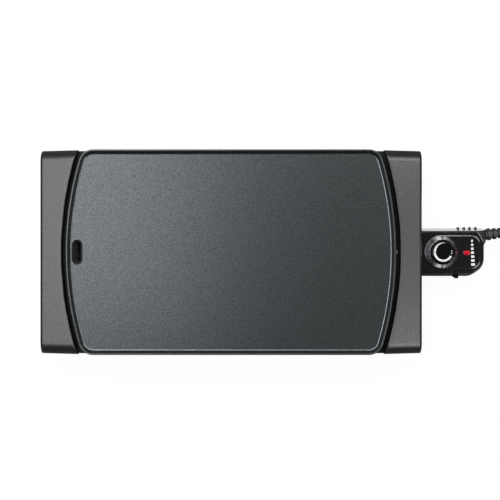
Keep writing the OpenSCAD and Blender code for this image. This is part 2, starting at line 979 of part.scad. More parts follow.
module cord_tie() {
    t = 0.9;
    side = coil_reach + 0.4;
    color([0.12, 0.12, 0.12])
        translate([coil_at[0] - coil_r, coil_at[1], 0])
            difference() {
                box([-side - t, -4, 0], [side + t, 4, coil_at[2] + coil_h + t]);
                box([-side, -5, coil_at[2] - 0.1], [side, 5, coil_at[2] + coil_h]);
            }
}

// The plug lies on its side and points to -Y.
module plug_body() {
    color([0.09, 0.09, 0.10])
        translate(plug_at)
            rotate([90, 0, 0])
                difference() {
                    rotate_extrude($fn = 64)
                        polygon([[0, 0], [5.2, 0], [7, 22], [9.5, 26], [17.3, 40], [plug_r, 44],
                            [plug_r, 60], [plug_r - 0.8, 61], [0, 61]]);
                    for (side = [-1, 1])
                        box([-3.5, side * 17.5 - 2, 46], [3.5, side * 17.5 + 2, 62]);
                }
}

module plug_pins() {
    color([0.78, 0.77, 0.74])
        translate(plug_at)
            rotate([90, 0, 0])
                for (side = [-1, 1])
                    translate([side * 9.5, 0, 61])
                        cylinder(h = 19, r = 2.4, $fn = 32);
}

module plug_earth_clips() {
    color([0.80, 0.68, 0.40])
        translate(plug_at)
            rotate([90, 0, 0])
                for (side = [-1, 1])
                    box([-2.5, side * 16.2 - 0.6, 46], [2.5, side * 16.2 + 0.6, 60]);
}

griddle_plate();
heating_element();
terminal_pins();
ceramic_bushes();
probe_guide();
terminal_shroud();
shroud_screws();
left_handle_shell();
right_handle_shell();
left_leg_frame();
right_leg_frame();
rubber_feet();
insulating_washers();
plate_screws();
shell_screws();
tray_rails();
rail_screws();
plug_in_mark();
drip_tray();
control_top_housing();
control_bottom_housing();
socket_insulator();
contact_sockets();
temperature_probe();
thermostat_frame();
bimetal_strip();
contact_blade();
contact_stack();
thermal_fuse();
pilot_lamp();
pilot_lens();
lead_wires();
cord_clamp();
housing_screws();
heat_level_mark();
dial_knob();
dial_cap();
dial_scale();
dial_shaft();
shaft_clip();
cord_guard();
cord_lead();
cord_coil();
cord_tail();
cord_tie();
plug_body();
plug_pins();
plug_earth_clips();
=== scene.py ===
"""Electric griddle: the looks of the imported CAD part, its floor, its light and its camera."""
import math

import bmesh
import bpy
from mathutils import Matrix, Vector
from mathutils.geometry import delaunay_2d_cdt


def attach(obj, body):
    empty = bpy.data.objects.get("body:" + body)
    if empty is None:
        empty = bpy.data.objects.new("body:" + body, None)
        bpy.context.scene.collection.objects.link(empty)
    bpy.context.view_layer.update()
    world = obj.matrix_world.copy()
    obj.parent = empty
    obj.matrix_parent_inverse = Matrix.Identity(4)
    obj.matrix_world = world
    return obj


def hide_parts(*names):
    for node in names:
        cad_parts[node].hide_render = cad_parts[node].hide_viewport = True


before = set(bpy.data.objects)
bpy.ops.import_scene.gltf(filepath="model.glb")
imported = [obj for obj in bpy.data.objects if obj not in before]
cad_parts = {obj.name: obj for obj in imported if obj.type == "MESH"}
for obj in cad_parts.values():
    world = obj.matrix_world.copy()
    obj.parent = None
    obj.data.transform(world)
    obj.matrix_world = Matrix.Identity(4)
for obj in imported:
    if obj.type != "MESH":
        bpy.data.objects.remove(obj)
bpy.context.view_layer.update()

MM = 0.001             # in metres
PLATE_X = -45.5        # mm, from the row's origin to the middle of the plate
DIAL_X = 294.5         # mm, from the middle of the plate, as is every x below that isn't said to be the row's
CORD_R = 3.75
CAMERA = (26.25, 3.0, 1372)
LENS, SENSOR = 68.07, 36

scene = bpy.context.scene


def row(p):
    """A point in millimetres from the middle of the plate, as a point in the row frame in metres."""
    return Vector(((p[0] + PLATE_X) * MM, p[1] * MM, p[2] * MM))


# ---------------------------------------------------------------- camera

camera_data = bpy.data.cameras.new("camera")
camera_data.lens = LENS
camera_data.sensor_width = SENSOR
camera_data.clip_start = 0.05
camera_data.clip_end = 30
camera = bpy.data.objects.new("camera", camera_data)
camera.location = row(CAMERA)
scene.collection.objects.link(camera)
scene.camera = camera


# ---------------------------------------------------------------- materials

def shader(name):
    """A new material, its node tree and its Principled shader."""
    mat = bpy.data.materials.new(name)
    mat.use_nodes = True
    return mat, mat.node_tree, mat.node_tree.nodes["Principled BSDF"]


def noise(tree, vector, scale, detail=2.0, rough=0.5):
    """Noise between 0 and 1, with about scale bumps to the metre."""
    node = tree.nodes.new("ShaderNodeTexNoise")
    node.inputs["Scale"].default_value = scale
    node.inputs["Detail"].default_value = detail
    node.inputs["Roughness"].default_value = rough
    tree.links.new(vector, node.inputs["Vector"])
    return node.outputs["Fac"]


def spread(tree, value, low, high, a=0.35, b=0.65):
    """The stretch from a to b of a value, mapped on to low to high."""
    node = tree.nodes.new("ShaderNodeMapRange")
    node.inputs["From Min"].default_value = a
    node.inputs["From Max"].default_value = b
    node.inputs["To Min"].default_value = low
    node.inputs["To Max"].default_value = high
    tree.links.new(value, node.inputs["Value"])
    return node.outputs["Result"]


def mix(tree, factor, a, b):
    """Colour a run into colour b by a factor. Each is a tuple, or another node's output."""
    node = tree.nodes.new("ShaderNodeMix")
    node.data_type = "RGBA"
    tree.links.new(factor, node.inputs[0])
    for socket, colour in ((node.inputs[6], a), (node.inputs[7], b)):
        if isinstance(colour, tuple):
            socket.default_value = (*colour, 1)
        else:
            tree.links.new(colour, socket)
    return node.outputs[2]


def shade(colour, k):
    """A colour made k times as light."""
    return tuple(min(1.0, c * k) for c in colour)


def relief(tree, height, strength, distance, under=None):
    """A bump made from a height, on top of the bump under it if one is given."""
    node = tree.nodes.new("ShaderNodeBump")
    node.inputs["Strength"].default_value = strength
    node.inputs["Distance"].default_value = distance
    tree.links.new(height, node.inputs["Height"])
    if under is not None:
        tree.links.new(under, node.inputs["Normal"])
    return node.outputs["Normal"]


FINE_RELIEF = 0.4 * MM
PEEL_RELIEF = 0.6 * MM


def surface(name, base, rough, grain=(1500, 0.10), cloud=(30, 0.08), bump=(1800, 0.10), metal=0.0,
            coat=0.0, coat_rough=0.2, specular=0.5, rough_play=0.06, stretch=None):
    """A procedural finish: fine grain and soft clouds in its colour, play in its roughness, and a bump.

    grain, cloud and bump are each a scale and a strength; stretch draws the pattern out along an axis.
    """
    mat, tree, bsdf = shader(name)
    vector = tree.nodes.new("ShaderNodeTexCoord").outputs["Object"]
    if stretch:
        mapping = tree.nodes.new("ShaderNodeMapping")
        mapping.inputs["Scale"].default_value = stretch
        tree.links.new(vector, mapping.inputs["Vector"])
        vector = mapping.outputs["Vector"]
    fine = noise(tree, vector, grain[0], 3)
    soft = noise(tree, vector, cloud[0], 2)
    colour = mix(tree, spread(tree, fine, 0, 1), shade(base, 1 - grain[1]), shade(base, 1 + grain[1]))
    dark = mix(tree, spread(tree, soft, 0, 1), shade(base, 1 - cloud[1]), shade(base, 1 + cloud[1]))
    half = tree.nodes.new("ShaderNodeMix")
    half.data_type = "RGBA"
    half.inputs[0].default_value = 0.5
    tree.links.new(colour, half.inputs[6])
    tree.links.new(dark, half.inputs[7])
    tree.links.new(half.outputs[2], bsdf.inputs["Base Color"])
    rough_noise = noise(tree, vector, grain[0] * 0.37, 2)
    play = spread(tree, rough_noise, rough - rough_play, rough + rough_play)
    tree.links.new(play, bsdf.inputs["Roughness"])
    pitted = relief(tree, noise(tree, vector, bump[0], 2), bump[1], FINE_RELIEF)
    tree.links.new(pitted, bsdf.inputs["Normal"])
    bsdf.inputs["Metallic"].default_value = metal
    bsdf.inputs["Specular IOR Level"].default_value = specular
    bsdf.inputs["Coat Weight"].default_value = coat
    bsdf.inputs["Coat Roughness"].default_value = coat_rough
    return mat


def nonstick(name, ior=1.5):
    """A dark grey non-stick coating with fine light specks and an orange-peel gloss."""
    mat, tree, bsdf = shader(name)
    bsdf.inputs["IOR"].default_value = ior
    bsdf.inputs["Specular Tint"].default_value = (0.92, 0.98, 1.0, 1)
    vector = tree.nodes.new("ShaderNodeTexCoord").outputs["Object"]
    specks = noise(tree, vector, 1150, 2, 0.6)
    clouds = noise(tree, vector, 14, 3)
    base = (0.007, 0.008, 0.0085)
    colour = mix(tree, spread(tree, clouds, 0, 1, 0.3, 0.7), shade(base, 0.9), shade(base, 1.1))
    colour = mix(tree, spread(tree, specks, 0, 0.7, 0.56, 0.72), colour, (0.05, 0.05, 0.05))
    tree.links.new(colour, bsdf.inputs["Base Color"])
    tree.links.new(spread(tree, specks, 0.31, 0.40), bsdf.inputs["Roughness"])
    peel = relief(tree, noise(tree, vector, 420, 2, 0.45), 0.12, PEEL_RELIEF)
    tree.links.new(peel, bsdf.inputs["Normal"])
    gloss = noise(tree, vector, 640, 3, 0.6)
    tree.links.new(spread(tree, gloss, 0.50, 1.10), bsdf.inputs["Specular IOR Level"])
    return mat


KNURL_TURN, KNURL_SCALE = 35, 98


def knurled():
    """Dark handle plastic with a faint diagonal cross pattern."""
    mat = surface("handle_plastic", (0.007, 0.007, 0.0074), 0.39, grain=(1300, 0.16), cloud=(20, 0.05),
                  bump=(1300, 0.10), specular=0.9, rough_play=0.03)
    tree = mat.node_tree
    bsdf = tree.nodes["Principled BSDF"]
    last = next(n for n in tree.nodes if n.type == "BUMP").outputs["Normal"]
    vector = next(n for n in tree.nodes if n.type == "TEX_COORD").outputs["Object"]
    lattice = tree.nodes.new("ShaderNodeMath")
    lattice.operation = "ADD"
    for k, turn in enumerate((KNURL_TURN, -KNURL_TURN)):
        mapping = tree.nodes.new("ShaderNodeMapping")
        mapping.inputs["Rotation"].default_value = (0, 0, math.radians(turn))
        tree.links.new(vector, mapping.inputs["Vector"])
        wave = tree.nodes.new("ShaderNodeTexWave")
        wave.inputs["Scale"].default_value = KNURL_SCALE
        tree.links.new(mapping.outputs["Vector"], wave.inputs["Vector"])
        last = relief(tree, wave.outputs["Fac"], 0.10, FINE_RELIEF, under=last)
        tree.links.new(wave.outputs["Fac"], lattice.inputs[k])
    tree.links.new(last, bsdf.inputs["Normal"])
    gloss = spread(tree, lattice.outputs[0], 0.60, 1.0, 0.2, 1.8)
    tree.links.new(gloss, bsdf.inputs["Specular IOR Level"])
    return mat


def red_lens():
    """A glossy red lens that glows a little."""
    mat = surface("lens_red", (0.31, 0.005, 0.014), 0.16, grain=(900, 0.2), cloud=(250, 0.15),
                  bump=(700, 0.05), coat=0.5, coat_rough=0.05)
    bsdf = mat.node_tree.nodes["Principled BSDF"]
    bsdf.inputs["Emission Color"].default_value = (0.8, 0.01, 0.015, 1)
    bsdf.inputs["Emission Strength"].default_value = 0.12
    return mat


MAT = {
    "plate_coating": nonstick("plate_coating"),
    # a more reflective copy of the coating, for the painted highlight along the rim's foot
    "rim_foot_painted_highlight": nonstick("rim_foot_painted_highlight", 1.92),
    "drain_lip": surface("drain_lip", (0.005, 0.005, 0.005), 0.42, bump=(1500, 0.05), specular=0.12),
    "element_steel": surface("element_steel", (0.36, 0.33, 0.30), 0.46, metal=1, grain=(700, 0.2),
                             cloud=(40, 0.25)),
    "contact_steel": surface("contact_steel", (0.70, 0.69, 0.66), 0.22, metal=1, grain=(900, 0.06),
                             bump=(2200, 0.03)),
    "ceramic": surface("ceramic", (0.80, 0.77, 0.70), 0.55, grain=(1200, 0.05)),
    "steel": surface("steel", (0.56, 0.57, 0.58), 0.34, metal=1, grain=(500, 0.10), cloud=(60, 0.10),
                     bump=(900, 0.06), stretch=(1, 6, 1)),
    "handle_plastic": knurled(),
    "frame_plastic": surface("frame_plastic", (0.004, 0.004, 0.004), 0.62, bump=(2100, 0.16), specular=0.25),
    "rubber": surface("rubber", (0.024, 0.024, 0.024), 0.72, bump=(1600, 0.20)),
    "white_print": surface("white_print", (0.60, 0.60, 0.59), 0.5, grain=(2400, 0.05), bump=(2600, 0.05)),
    "tray_steel": surface("tray_steel", (0.60, 0.61, 0.62), 0.30, metal=1, grain=(420, 0.08),
                          cloud=(25, 0.06), bump=(800, 0.05), stretch=(1, 14, 14)),
    "control_plastic": surface("control_plastic", (0.004, 0.004, 0.0043), 0.22, bump=(2300, 0.05),
                               rough_play=0.03),
    "brass": surface("brass", (0.70, 0.55, 0.28), 0.3, metal=1, grain=(800, 0.08)),
    "insulator": surface("insulator", (0.035, 0.028, 0.024), 0.5, bump=(1500, 0.12)),
    "lens_red": red_lens(),
    "lamp_glass": surface("lamp_glass", (0.80, 0.50, 0.40), 0.1),
    "dial_plastic": surface("dial_plastic", (0.42, 0.43, 0.46), 0.28, metal=1, grain=(700, 0.06),
                            bump=(900, 0.03)),
    "dial_gloss": surface("dial_gloss", (0.004, 0.004, 0.004), 0.10, bump=(600, 0.02),
                          rough_play=0.03),
    "cord_black": surface("cord_black", (0.018, 0.018, 0.019), 0.45, bump=(1500, 0.12)),
    "wire_sheath": surface("wire_sheath", (0.22, 0.10, 0.05), 0.4),
}


# ---------------------------------------------------------------- shapes

def arc(c, r, a, b, n):
    """n + 1 points of a circle, from angle a to b in degrees."""
    return [(c[0] + r * math.cos(math.radians(a + (b - a) * i / n)),
             c[1] + r * math.sin(math.radians(a + (b - a) * i / n))) for i in range(n + 1)]


def rounded(points, radii, n=5, closed=False):
    """A path with its corners rounded to the given radii. An open path keeps its two ends."""
    out = []
    count = len(points)
    for i, (p, r) in enumerate(zip(points, radii)):
        if r <= 0 or (not closed and i in (0, count - 1)):
            out.append(tuple(p))
            continue
        p = Vector(p)
        a = Vector(points[i - 1]) - p
        b = Vector(points[(i + 1) % count]) - p
        la, lb = a.length, b.length
        a.normalize()
        b.normalize()
        half = math.acos(max(-1.0, min(1.0, a.dot(b)))) / 2
        cut = min(r / math.tan(half), 0.49 * la, 0.49 * lb)
        r = cut * math.tan(half)
        middle = p + (a + b).normalized() * (r / math.sin(half))
        start, end = p + a * cut - middle, p + b * cut - middle
        turn = math.atan2(start.x * end.y - start.y * end.x, start.dot(end))
        a0 = math.atan2(start.y, start.x)
        out += [(middle.x + r * math.cos(a0 + turn * k / n), middle.y + r * math.sin(a0 + turn * k / n))
                for k in range(n + 1)]
    return out


def offset(loop, d):
    """A closed loop moved in by d along its corners' mitres. The loop runs anticlockwise."""
    out = []
    for i, p in enumerate(loop):
        a = Vector(p) - Vector(loop[i - 1])
        b = Vector(loop[(i + 1) % len(loop)]) - Vector(p)
        na = Vector((-a.y, a.x)).normalized()
        nb = Vector((-b.y, b.x)).normalized()
        m = na + nb
        m = m / max(m.dot(na), 0.3)
        out.append((p[0] + m.x * d, p[1] + m.y * d))
    return out


def inside(p, loop):
    """Whether a flat point lies in a closed loop."""
    hit = False
    for i, a in enumerate(loop):
        b = loop[i - 1]
        if (a[1] > p[1]) != (b[1] > p[1]) and p[0] < (b[0] - a[0]) * (p[1] - a[1]) / (b[1] - a[1]) + a[0]:
            hit = not hit
    return hit


def flat(loops):
    """Triangles that fill the first loop, less the others, as indices into all the loops' points in a row."""
    points = [Vector(p) for loop in loops for p in loop]
    edges = []
    start = 0
    for loop in loops:
        edges += [(start + i, start + (i + 1) % len(loop)) for i in range(len(loop))]
        start += len(loop)
    verts, _, faces, origin, _, _ = delaunay_2d_cdt(points, edges, [], 1, 1e-6)
    keep = []
    for f in faces:
        c = sum((verts[i] for i in f), Vector((0, 0))) / len(f)
        if inside(c, loops[0]) and not any(inside(c, hole) for hole in loops[1:]):
            keep.append([origin[i][0] for i in f])
    return keep


WELD = 0.004            # mm, the distance at which points become one


class Shape:
    """Vertices and faces gathered for one mesh, in millimetres from the middle of the plate.

    v holds the vertices, f the faces as lists of vertex numbers, and m each face's material number.
    """

    def __init__(self):
        self.v, self.f, self.m = [], [], []

    def ring(self, points):
        """Adds points and gives their numbers."""
        self.v += [tuple(p) for p in points]
        return list(range(len(self.v) - len(points), len(self.v)))

    def face(self, idx, m=0):
        self.f.append(idx)
        self.m.append(m)

    def skin(self, a, b, m=0):
        """Joins two closed rings with quads."""
        n = len(a)
        for i in range(n):
            j = (i + 1) % n
            self.face([a[i], a[j], b[j], b[i]], m)

    def skins(self, rings, m=0):
        """Joins each ring to the next."""
        for a, b in zip(rings, rings[1:]):
            self.skin(a, b, m)

    def fill(self, rings, flip=False, flat_axes=slice(0, 2)):
        """Fills a flat ring, less the rings in it."""
        idx = [i for r in rings for i in r]
        for f in flat([[self.v[i][flat_axes] for i in r] for r in rings]):
            face = [idx[i] for i in f]
            self.face(face[::-1] if flip else face)

    def loft(self, outline, profile, bottom=True, top=True):
        """Stands a wall of rings on (inset, z) steps; outline gives the loop for an inset."""
        rings = [self.ring([(x, y, z) for x, y in outline(inset)]) for inset, z in profile]
        self.skins(rings)
        if bottom:
            self.fill([rings[0]], flip=True)
        if top:
            self.fill([rings[-1]])
        return rings

    def slab(self, loop, z0, z1, r, holes=()):
        """A flat plate from z0 to z1 with edges rounded to r, and holes with such edges."""
        steps = arc((r, z0 + r), r, 270, 180, 3) + arc((r, z1 - r), r, 180, 90, 3)
        rings = [self.ring([(x, y, z) for x, y in offset(loop, inset)]) for inset, z in steps]
        self.skins(rings)
        lows, highs = [rings[0]], [rings[-1]]
        for hole in holes:
            inner = [self.ring([(x, y, z) for x, y in offset(hole, -inset)]) for inset, z in steps]
            self.skins(inner[::-1])
            lows.append(inner[0])
            highs.append(inner[-1])
        self.fill(lows, flip=True)
        self.fill(highs)

    def lathe(self, profile, place, n):
        """Turns (radius, height) steps; place puts a point of the turned shape into the griddle."""
        rings = []
        for r, h in profile:
            if r < 1e-6:
                rings.append(self.ring([place((0, 0, h))]))
            else:
                rings.append(self.ring([place((r * math.cos(2 * math.pi * k / n),
                                               r * math.sin(2 * math.pi * k / n), h)) for k in range(n)]))
        for a, b in zip(rings, rings[1:]):
            if len(a) == 1:
                for k in range(n):
                    self.face([a[0], b[(k + 1) % n], b[k]])
            elif len(b) == 1:
                for k in range(n):
                    self.face([a[k], a[(k + 1) % n], b[0]])
            else:
                self.skin(a, b)

    def tube(self, path, section):
        """Sweeps a closed section of (side, up) points along a path and closes its ends."""
        rings = []
        up = Vector((0, 0, 1))
        for i, p in enumerate(path):
            d = (Vector(path[min(i + 1, len(path) - 1)]) - Vector(path[max(i - 1, 0)])).normalized()
            side = d.cross(up)
            side = side.normalized() if side.length > 1e-4 else Vector((1, 0, 0))
            over = side.cross(d)
            rings.append(self.ring([tuple(Vector(p) + side * s + over * u) for s, u in section]))
        self.skins(rings)
        self.face(rings[0][::-1])
        self.face(rings[-1])

    def slice(self, point, normal, soft):
        """Takes off what lies past a plane, closes the cut and rounds its edge."""
        bm = bmesh.new()
        verts = [bm.verts.new(v) for v in self.v]
        for f in self.f:
            bm.faces.new([verts[i] for i in f])
        bmesh.ops.remove_doubles(bm, verts=bm.verts, dist=0.002)
        parts = bm.verts[:] + bm.edges[:] + bm.faces[:]
        cut = bmesh.ops.bisect_plane(bm, geom=parts, plane_co=point, plane_no=normal, clear_outer=True)
        rim = [e for e in cut["geom_cut"] if isinstance(e, bmesh.types.BMEdge)]
        bmesh.ops.contextual_create(bm, geom=rim)
        bmesh.ops.bevel(bm, geom=rim, offset=soft, segments=4, profile=0.5, affect="EDGES")
        bm.verts.index_update()
        self.v = [tuple(v.co) for v in bm.verts]
        self.f = [[v.index for v in f.verts] for f in bm.faces]
        self.m = [0] * len(self.f)
        bm.free()

    def make(self, name, slot, body, nodes, mats=None, sharp=35):
        """Turns what was gathered into an object that rides on a body in place of CAD nodes."""
        mesh = bpy.data.meshes.new(name)
        mesh.from_pydata([tuple(row(p)) for p in self.v], [], self.f)
        for mat in (mats or [slot]):
            mesh.materials.append(MAT[mat])
        for face, m in zip(mesh.polygons, self.m):
            face.material_index = m
        mesh.validate()
        mesh.polygons.foreach_set("use_smooth", [True] * len(mesh.polygons))
        obj = bpy.data.objects.new(name, mesh)
        scene.collection.objects.link(obj)
        weld = obj.modifiers.new("weld", "WELD")
        weld.merge_threshold = WELD * MM
        finish_normals(obj, sharp)
        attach(obj, body)
        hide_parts(*nodes)
        return obj


def finish_normals(obj, sharp):
    """Shades an object smooth but for edges sharper than an angle, and keeps its flats flat."""
    obj.data.set_sharp_from_angle(angle=math.radians(sharp))
    normal = obj.modifiers.new("normals", "WEIGHTED_NORMAL")
    normal.keep_sharp = True
    normal.weight = 60


def upright(x, y):
    """Stands a turned shape upright at a point of the plan."""
    return lambda p: (x + p[0], y + p[1], p[2])


def rect(x0, y0, x1, y1, r, n=5):
    """A rectangle with its corners rounded to r."""
    return rounded([(x0, y0), (x1, y0), (x1, y1), (x0, y1)], [r] * 4, n, True)


def smooth_route(points, step=2.5):
    """A Catmull-Rom line through the points."""
    pts = [Vector(p) for p in points]
    out = []
    for i in range(len(pts) - 1):
        a = pts[max(i - 1, 0)]
        b, c = pts[i], pts[i + 1]
        d = pts[min(i + 2, len(pts) - 1)]
        n = max(2, round((c - b).length / step))
        for k in range(n):
            t = k / n
            out.append(0.5 * ((2 * b) + (c - a) * t + (2 * a - 5 * b + 4 * c - d) * t * t
                              + (3 * b - a - 3 * c + d) * t * t * t))
    out.append(pts[-1])
    return out


# ---------------------------------------------------------------- cord, in the row's millimetres

LEAD = [(355.2, 29.5, 34), (362, 30.3, 34), (369.5, 30.8, 33), (377, 31, 30.4), (385, 31, 26.3),
        (393, 31, 21), (401, 31, 15.5), (409, 31, 10.5), (417, 31, 6.8), (424, 31, 5)]
TAIL = [(474, -19, 12.8), (474, -28, 12.9), (474, -37, 13.6), (474, -46, 15.1), (474, -55, 16.9),
        (474, -64, 18.2), (474, -70, 18.5), (474, -74, 18.5)]
COIL_X, COIL_Y, COIL_Z = 424, -19, 4.75
COIL_R = 50                     # of the outer turns
COIL_STEP = 8                   # from one turn to the next, and from the lower layer to the upper one
COIL_TURNS, COIL_POINTS = 5.25, 630


def ease(u, a, b):
    """0 before a and 1 after b, with a soft step between them."""
    t = max(0.0, min(1.0, (u - a) / (b - a)))
    return t * t * (3 - 2 * t)


def coil_point(u):
    """The cord after u turns: inwards on the floor, then up and outwards on top of those turns."""
    inwards = ease(u, 0.8, 1) + ease(u, 1.8, 2)
    outwards = ease(u, 3.3, 3.5) + ease(u, 4.3, 4.5)
    r = COIL_R - COIL_STEP * inwards + COIL_STEP * outwards
    z = COIL_Z + COIL_STEP * ease(u, 2.5, 2.8)
    a = math.radians(90) - 2 * math.pi * u
    return Vector((COIL_X + r * math.cos(a), COIL_Y + r * math.sin(a), z))


coil = [coil_point(COIL_TURNS * i / COIL_POINTS) for i in range(COIL_POINTS + 1)]
route = [p * MM for p in smooth_route(LEAD)[:-1] + coil + smooth_route(TAIL)[1:]]
curve = bpy.data.curves.new("mains_cord", "CURVE")
curve.dimensions = "3D"
curve.bevel_depth = CORD_R * MM
curve.bevel_resolution = 6
curve.use_fill_caps = True
spline = curve.splines.new("POLY")
spline.points.add(len(route) - 1)
for point, p in zip(spline.points, route):
    point.co = (*p, 1)
spline.use_smooth = True
cord = bpy.data.objects.new("mains_cord", curve)
curve.materials.append(MAT["cord_black"])
scene.collection.objects.link(cord)
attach(cord, "control")
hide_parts("cord_lead", "cord_coil", "cord_tail")


def in_row(p):
    """A point in the row's millimetres, as one from the middle of the plate."""
    return (p[0] - PLATE_X, p[1], p[2])


GUARD = Vector((311.5, 24.5, 34))
GUARD_TILT = math.radians(6.5)
GUARD_DIR = Vector((math.cos(GUARD_TILT), math.sin(GUARD_TILT), 0))
GUARD_SIDE = Vector((-GUARD_DIR.y, GUARD_DIR.x, 0))


def on_guard(p):
    """Lays a turned shape along the cord guard's axis."""
    return in_row(GUARD + GUARD_DIR * p[2] + GUARD_SIDE * p[0] + Vector((0, 0, p[1])))


GUARD_RIBS = ((8.6, 5.4), (8.0, 5.2), (7.5, 4.8), (7.0, 4.4), (6.6, 4.2))      # radius and width
GUARD_GROOVE = 2.6
GUARD_END = 44
steps = [(0, -3), (4.6, -3), (4.6, 1.15), (7.4, 1.15), (7.4, 3.6)]
radii = [0, 0, 0, 0.4, 0.4]
x = 4.1
for r, w in GUARD_RIBS:
    steps += [(r - 2.2, x), (r, x + 0.3), (r - 0.25, x + w - 0.3), (r - 2.4, x + w)]
    radii += [0.4, 0.8, 0.8, 0.4]
    x += w + GUARD_GROOVE
steps += [(4.6, x), (4.3, GUARD_END - 0.6), (4.3, GUARD_END), (3.9, GUARD_END), (3.9, GUARD_END - 4)]
radii += [0.3, 0.3, 0.2, 0.2, 0]
shape = Shape()
shape.lathe(rounded(steps, radii, 3), on_guard, 40)
guard = shape.make("strain_relief", "cord_black", "control", ["cord_guard"])

# the strap that holds the coil together
STRAP_X = COIL_X - 42
STRAP_HALF, STRAP_WALL = 4, 0.9
shape = Shape()
outer = rect(-12.15, 0.3, 12.15, 16.9, 3, 6)
inner = rect(-12.15 + STRAP_WALL, 1, 12.15 - STRAP_WALL, 16.9 - STRAP_WALL, 2.2, 6)
rings = []
for loop, y in ((inner, -STRAP_HALF), (outer, -STRAP_HALF), (outer, STRAP_HALF), (inner, STRAP_HALF)):
    rings.append(shape.ring([in_row((STRAP_X + px, COIL_Y + y, pz)) for px, pz in loop]))
shape.skins(rings + [rings[0]])
tie = shape.make("cord_strap", "frame_plastic", "control", ["cord_tie"])


PLUG_X, PLUG_Y, PLUG_Z = TAIL[-1]


def on_plug(p):
    """Lays a turned shape along the plug's axis, which points to -Y."""
    return in_row((PLUG_X + p[0], PLUG_Y - p[2], PLUG_Z + p[1]))


shape = Shape()
steps = [(0, 0.2), (4.4, 0.2), (5.2, 0.2), (5.6, 6), (7, 22), (9.5, 26), (17.0, 40), (18.4, 44), (18.4, 60),
         (17.4, 61), (15.6, 61), (15.2, 59.6), (0, 59.6)]
profile = rounded(steps, [0, 0, 0.6, 3, 3, 4, 4, 3, 0.6, 0.4, 0.3, 0.3, 0], 5)
FINE_STEP = 1.6                 # short enough for the grip to bend between its ends
fine = []
for a, b in zip(profile, profile[1:]):
    n = max(1, round((Vector(b) - Vector(a)).length / FINE_STEP))
    fine += [(a[0] + (b[0] - a[0]) * k / n, a[1] + (b[1] - a[1]) * k / n) for k in range(n)]
fine.append(profile[-1])


GRIP_FROM, GRIP_LENGTH, GRIP_DEPTH = 23, 20, 0.16
GROOVE_FROM, GROOVE_HALF, GROOVE_R = 45.5, 3.3, 15.7


def plug_form(p):
    """Presses the grip flats and the two earth grooves into the turned shape."""
    x, y, h = p
    r = math.hypot(x, y)
    along = (h - GRIP_FROM) / GRIP_LENGTH
    if 0 < along < 1 and r > 1:
        flatten = 1 - GRIP_DEPTH * math.sin(math.pi * along) * (abs(y) / r) ** 4
        x, y = x * flatten, y * flatten
    if h >= GROOVE_FROM and abs(x) < GROOVE_HALF and r > 14:
        y = math.copysign(min(abs(y), GROOVE_R), y)
    return on_plug((x, y, h))


shape.lathe(fine, plug_form, 96)
plug = shape.make("mains_plug", "control_plastic", "control", ["plug_body"])
PIN_X = 9.5
shape = Shape()
for sign in (-1, 1):
    pin = rounded([(0, 59), (2.4, 59), (2.4, 80), (1.5, 80), (0, 80)], [0, 0, 1.6, 0, 0], 6)
    shape.lathe(pin, lambda p, sign=sign: on_plug((p[0] + sign * PIN_X, p[1], p[2])), 28)
pins = shape.make("mains_pins", "contact_steel", "control", ["plug_pins"])


# ---------------------------------------------------------------- griddle plate

END_R, END_X, CORNER = 450.0, -222.5, 20.0      # the right end's bow, its middle, and the corners
SIDE_Y = 141.5
GAP = 7.0                       # from the plate's end to the handle
FLOOR_Z = 66                    # of the cooking surface
SLOT_X, SLOT_Y, SLOT_R = -212.5, 10, 7          # the drain slot: its middle, half its straight part, its ends
PROBE_Z = 38.5                  # of the probe and its guide's bore
BOSS_X, BOSS_Y = 205, 85        # of the bosses for the leg frames' screws


def plate_outline(inset):
    """The plate's outline drawn in by inset: two bowed ends, two straight sides and four round corners."""
    corner_y = SIDE_Y - CORNER
    reach = END_R - CORNER
    corner_x = END_X + math.sqrt(reach * reach - corner_y * corner_y)
    meet = math.degrees(math.asin(corner_y / reach))
    r, c = END_R - inset, CORNER - inset
    return (arc((END_X, 0), r, -meet, meet, 30)
            + arc((corner_x, corner_y), c, meet, 90, 14)[1:]
            + arc((-corner_x, corner_y), c, 90, 180 - meet, 14)
            + arc((-END_X, 0), r, 180 - meet, 180 + meet, 30)[1:]
            + arc((-corner_x, -corner_y), c, 180 + meet, 270, 14)[1:]
            + arc((corner_x, -corner_y), c, 270, 360 - meet, 14)[:-1])


def slot_loop(grow, shift=0.0):
    """The drain slot's outline made wider by grow and moved to the right by shift."""
    x, r = SLOT_X + shift, SLOT_R + grow
    return arc((x, SLOT_Y), r, 0, 180, 12) + arc((x, -SLOT_Y), r, 180, 360, 12)


def element_route():
    """The heating element's path, from one terminal to the other, as flat points."""
    half = (arc((195, 38), 20, 270, 180, 8) + [(175, 60)] + arc((155, 85), 20, 0, 90, 8)
            + [(60, 105), (-60, 105)] + arc((-150, 75), 30, 90, 270, 18) + [(-60, 45), (20, 45)]
            + arc((110, 0), 45, 90, 0, 12))
    return half + [(x, -y) for x, y in reversed(half[:-1])]


shape = Shape()
rim = rounded([(3.5, 61), (3.5, 56), (0, 56), (0, 72), (2.2, 72), (5.9, FLOOR_Z), (8.8, FLOOR_Z)],
              [0, 0.9, 0.9, 1.0, 0.9, 2.35, 0], 6)[:-1]
# the plate's underside runs into the rim's inner wall in a round corner
rim = rounded([(5.6, 61), (3.5, 61), (3.5, 58)], [0, 1.5, 0], 4)[:-1] + rim[1:]
rings = shape.loft(plate_outline, rim, bottom=False, top=False)
